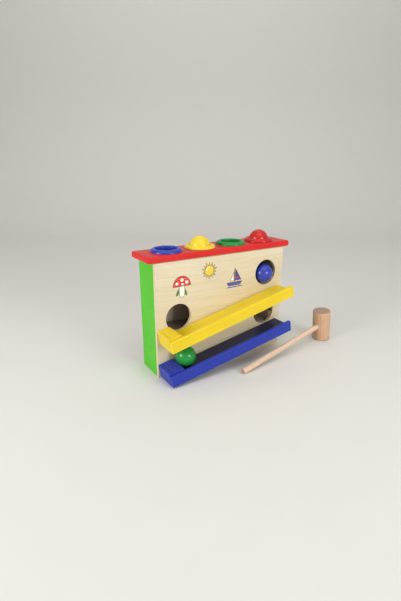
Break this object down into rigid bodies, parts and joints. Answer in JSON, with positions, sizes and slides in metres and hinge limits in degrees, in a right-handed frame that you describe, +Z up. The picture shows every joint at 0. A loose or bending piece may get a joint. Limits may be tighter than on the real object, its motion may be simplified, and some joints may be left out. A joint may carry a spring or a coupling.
{
  "type": "ball pounding toy",
  "caption": "Wooden ball pounding toy: a case with gripping rings on top, ball holes, sloping ramps in front, inner chutes, painted balls and a mallet.",
  "frame": {"origin": "centre of the base board's underside, on the table", "axes": "+X along the case to the right, -Y out of the front with the ramps, +Z up"},
  "size_m": [0.3287, 0.1125, 0.1933],
  "materials": {
    "red_paint": "gloss paint on wood",
    "green_paint": "gloss paint on wood",
    "yellow_paint": "gloss paint on wood",
    "blue_paint": "gloss paint on wood",
    "leaf_paint": "gloss lacquer on a turned wooden ball",
    "blue_plastic": "glossy moulded plastic",
    "yellow_plastic": "glossy moulded plastic",
    "green_plastic": "glossy moulded plastic",
    "red_plastic": "glossy moulded plastic",
    "plywood": "clear lacquer on plywood",
    "beech": "bare sanded beech",
    "hardboard": "pressed hardboard"
  },
  "bodies": {
    "toy": {"top_board": "red_paint", "blue_ring": "blue_plastic", "yellow_ring": "yellow_plastic", "green_ring": "green_plastic", "red_ring": "red_plastic", "front_panel": "plywood", "base_board": "plywood", "back_panel": "hardboard", "upper_chute": "hardboard", "lower_chute": "hardboard", "upper_chute_wedge": "hardboard", "lower_chute_wedge": "hardboard", "left_end_board": "green_paint", "right_end_board": "green_paint", "yellow_ramp_floor": "yellow_paint", "yellow_ramp_lip": "yellow_paint", "yellow_ramp_end_cap": "yellow_paint", "yellow_ramp_landing": "yellow_paint", "yellow_ramp_dowel_1": "beech", "yellow_ramp_dowel_2": "beech", "yellow_ramp_dowel_3": "beech", "blue_ramp_floor": "blue_paint", "blue_ramp_lip": "blue_paint", "blue_ramp_end_cap": "blue_paint", "blue_ramp_landing": "blue_paint", "blue_ramp_dowel_1": "beech", "blue_ramp_dowel_2": "beech", "blue_ramp_dowel_3": "beech", "top_dowel_left_front": "beech", "top_dowel_left_back": "beech", "top_dowel_right_front": "beech", "top_dowel_right_back": "beech", "base_dowel_left_front": "beech", "base_dowel_left_back": "beech", "base_dowel_right_front": "beech", "base_dowel_right_back": "beech"},
    "yellow_ball": {"yellow_ball": "yellow_paint"},
    "red_ball": {"red_ball": "red_paint"},
    "blue_ball": {"blue_ball": "blue_paint"},
    "green_ball": {"green_ball": "leaf_paint"},
    "mallet": {"mallet_head": "beech", "mallet_handle": "beech"}
  },
  "joints": [
    {"name": "pound_yellow_ball", "type": "slide", "parent": "toy", "child": "yellow_ball", "axis": [0, 0, -1], "range_m": [-0.045, 0.039]},
    {"name": "pound_red_ball", "type": "slide", "parent": "toy", "child": "red_ball", "axis": [0, 0, -1], "range_m": [-0.045, 0.0285]},
    {"name": "roll_blue_ball", "type": "slide", "parent": "toy", "child": "blue_ball", "axis": [0, -1, 0], "range_m": [0, 0.026]},
    {"name": "roll_green_ball", "type": "slide", "parent": "toy", "child": "green_ball", "axis": [0.9851, 0, 0.1722], "range_m": [0, 0.155]},
    {"name": "lift_mallet", "type": "slide", "parent": "toy", "child": "mallet", "axis": [0, -0.6, 0.8], "range_m": [0, 0.2]}
  ]
}
